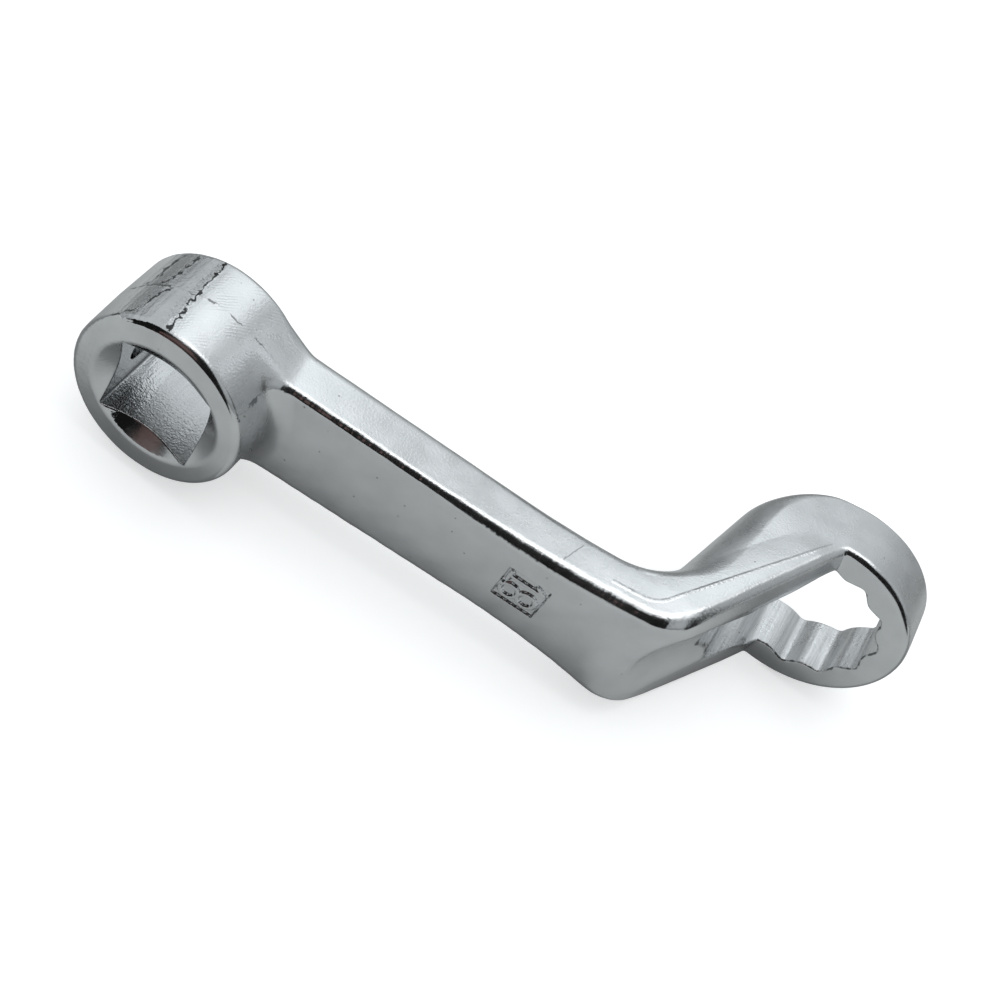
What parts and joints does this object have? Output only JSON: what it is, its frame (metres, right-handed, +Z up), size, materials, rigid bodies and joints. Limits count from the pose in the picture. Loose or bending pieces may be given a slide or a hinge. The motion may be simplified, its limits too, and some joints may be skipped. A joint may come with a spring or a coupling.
{
  "type": "alignment wrench",
  "caption": "Cranked flat-bar wrench with a female square drive head at one end and an offset ring with a toothed bore at the other, for wheel alignment bolts.",
  "frame": {"origin": "middle of the underside of the tool's box, with the tool lying on its narrow side", "axes": "+X from the drive head to the ring, +Y from the worked front faces to the back along both bores, +Z up across the bar's width"},
  "size_m": [0.1076, 0.0458, 0.0284],
  "materials": {
    "chrome_plate": "bright chrome over forged and ground steel"
  },
  "bodies": {
    "root": {"drive_head": "chrome_plate", "shank": "chrome_plate", "neck": "chrome_plate", "ring_head": "chrome_plate"}
  },
  "joints": []
}
